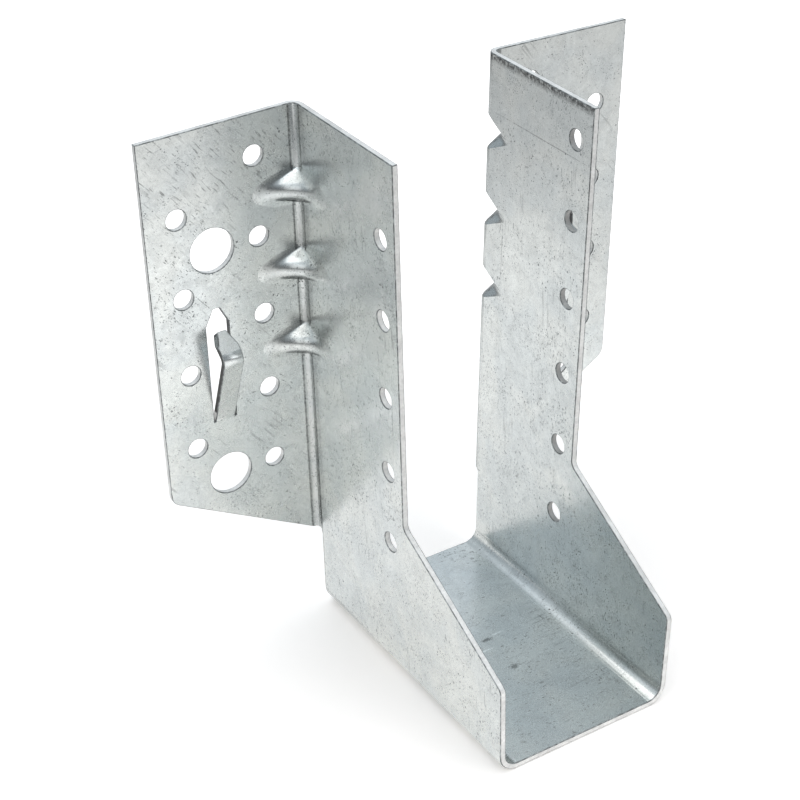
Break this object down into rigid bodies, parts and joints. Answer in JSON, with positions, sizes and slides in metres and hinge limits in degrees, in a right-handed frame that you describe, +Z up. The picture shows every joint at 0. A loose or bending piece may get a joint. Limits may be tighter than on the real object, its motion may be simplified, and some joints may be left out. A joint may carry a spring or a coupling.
{
  "type": "joist hanger",
  "caption": "Folded steel joist hanger with a seat, two legs and two nailing flanges, pressed gussets across the bends and lanced prongs that hold it while it is nailed.",
  "frame": {"origin": "middle of the footprint, on the seat's underside", "axes": "+Z up along the legs, +Y along the joist back to the header beam, +X across the joist to the right as seen from the front"},
  "size_m": [0.1318, 0.0804, 0.1385],
  "materials": {
    "joist_hanger": "galvanised, dull, lightly scratched"
  },
  "bodies": {
    "root": {"joist_hanger": "joist_hanger"}
  },
  "joints": []
}
